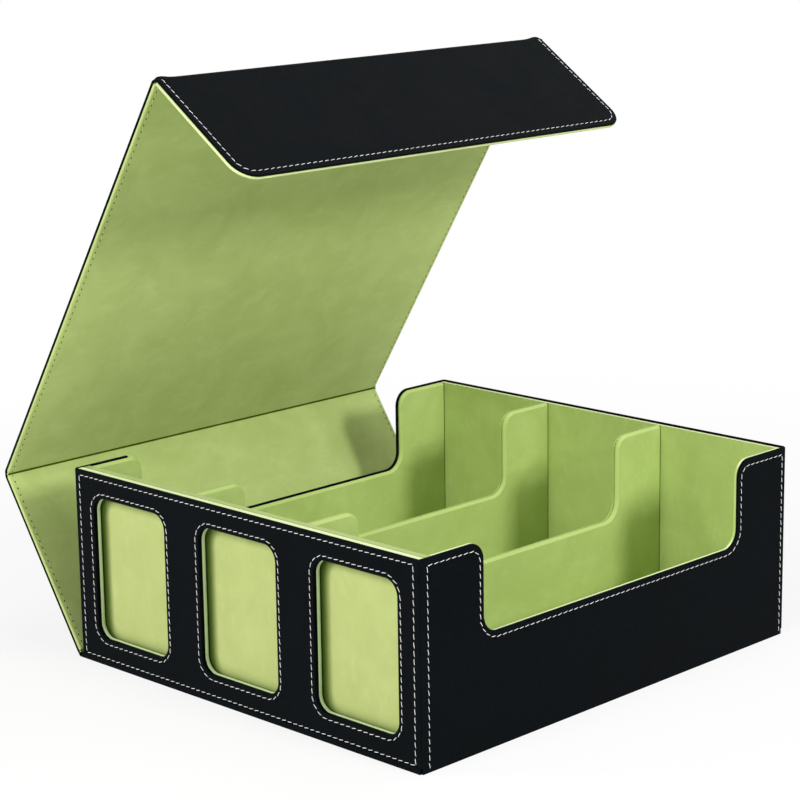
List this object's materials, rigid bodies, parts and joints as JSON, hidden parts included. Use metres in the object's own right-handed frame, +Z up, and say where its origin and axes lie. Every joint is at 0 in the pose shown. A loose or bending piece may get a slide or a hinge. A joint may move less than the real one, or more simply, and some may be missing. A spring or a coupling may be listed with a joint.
{
  "type": "trading card drawer box",
  "caption": "Card storage tray with scooped side walls and dividers, display windows with card slots, and a hinged wraparound cover with a magnetic flap.",
  "frame": {"origin": "middle of the tray's underside, on the surface it stands on", "axes": "+Z up, -Y out of the window wall, +X out of the side that the flap closes over; the cover is hinged on the -X side"},
  "size_m": [0.331, 0.2966, 0.3303],
  "materials": {
    "leather": "fine-grained satin synthetic leather, near black",
    "suede": "matt yellow-green microfibre suede",
    "greyboard": "plain pressed board, hidden",
    "magnet": "plated disc, hidden"
  },
  "bodies": {
    "tray": {"base_leather": "leather", "base_board": "greyboard", "base_hinge_lining": "suede", "fold_base": "leather", "floor_board": "greyboard", "floor_lining_1": "suede", "floor_lining_2": "suede", "floor_lining_3": "suede", "left_wall_leather": "leather", "left_wall_lining": "suede", "left_wall_board": "greyboard", "right_wall_leather": "leather", "right_wall_lining": "suede", "right_wall_board": "greyboard", "back_wall_leather": "leather", "back_wall_board": "greyboard", "back_wall_lining": "suede", "front_frame_board": "greyboard", "front_frame_leather": "leather", "front_frame_lining": "suede", "slot_spacer_bottom": "greyboard", "slot_spacer_1": "greyboard", "slot_spacer_2": "greyboard", "slot_spacer_3": "greyboard", "slot_spacer_4": "greyboard", "front_backing_board": "greyboard", "front_backing_lining": "suede", "divider_1_board": "greyboard", "divider_1_lining": "suede", "divider_2_board": "greyboard", "divider_2_lining": "suede", "wall_magnet_1": "magnet", "wall_magnet_2": "magnet"},
    "spine": {"spine_leather": "leather", "spine_lining": "suede", "spine_board": "greyboard", "fold_spine": "leather"},
    "lid": {"lid_leather": "leather", "lid_lining": "suede", "lid_board": "greyboard", "fold_flap": "leather"},
    "flap": {"flap_leather": "leather", "flap_lining": "suede", "flap_board": "greyboard", "flap_magnet_1": "magnet", "flap_magnet_2": "magnet"}
  },
  "joints": [
    {"name": "spine_fold", "type": "hinge", "parent": "tray", "child": "spine", "pos_m": [-0.1349, 0, 0.0016], "axis": [0, -1, 0], "range_deg": [-33.3, 56.7]},
    {"name": "lid_fold", "type": "hinge", "parent": "spine", "child": "lid", "pos_m": [-0.19667, 0, 0.09563], "axis": [0, -1, 0], "range_deg": [-24.8, 65.2]},
    {"name": "flap_fold", "type": "hinge", "parent": "lid", "child": "flap", "pos_m": [-0.05161, 0, 0.32867], "axis": [0, -1, 0], "range_deg": [0, 93]}
  ]
}
